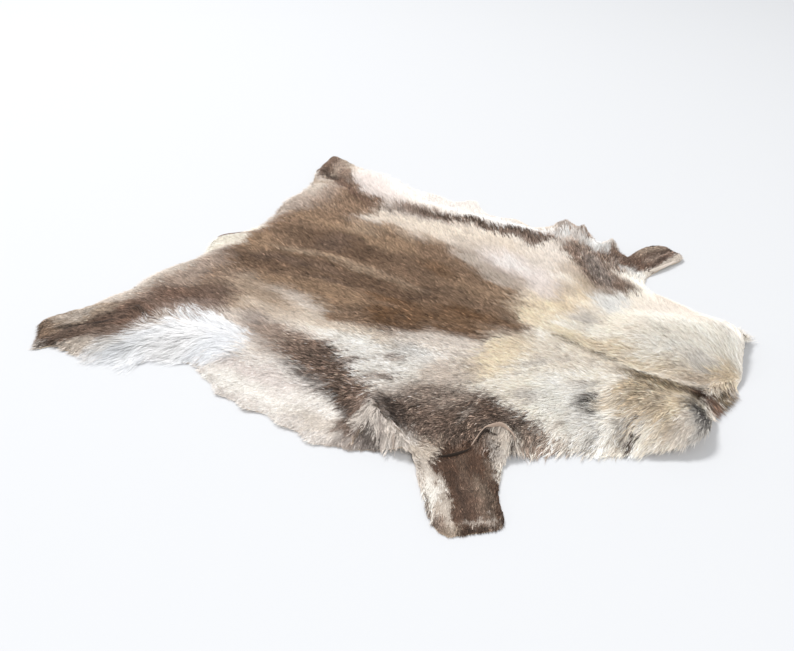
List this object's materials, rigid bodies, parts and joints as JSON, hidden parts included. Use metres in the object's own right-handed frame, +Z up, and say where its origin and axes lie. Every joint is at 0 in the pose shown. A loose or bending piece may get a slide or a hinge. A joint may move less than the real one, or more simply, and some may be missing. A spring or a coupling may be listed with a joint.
{
  "type": "reindeer hide",
  "caption": "Tanned reindeer hide lying hair side up, with neck, legs and tail, a lifted and parted neck, curled elbows and a thick brown, cream and white winter coat",
  "frame": {"origin": "on the floor, at the middle of the hide's outline seen from above", "axes": "+X runs along the spine from the tail to the neck, +Y to the animal's left side, +Z up out of the coat"},
  "size_m": [1.347, 1.134, 0.0707],
  "materials": {
    "winter_coat": "matte",
    "tanned_skin": "matte"
  },
  "bodies": {
    "root": {"hide": "winter_coat"}
  },
  "joints": []
}
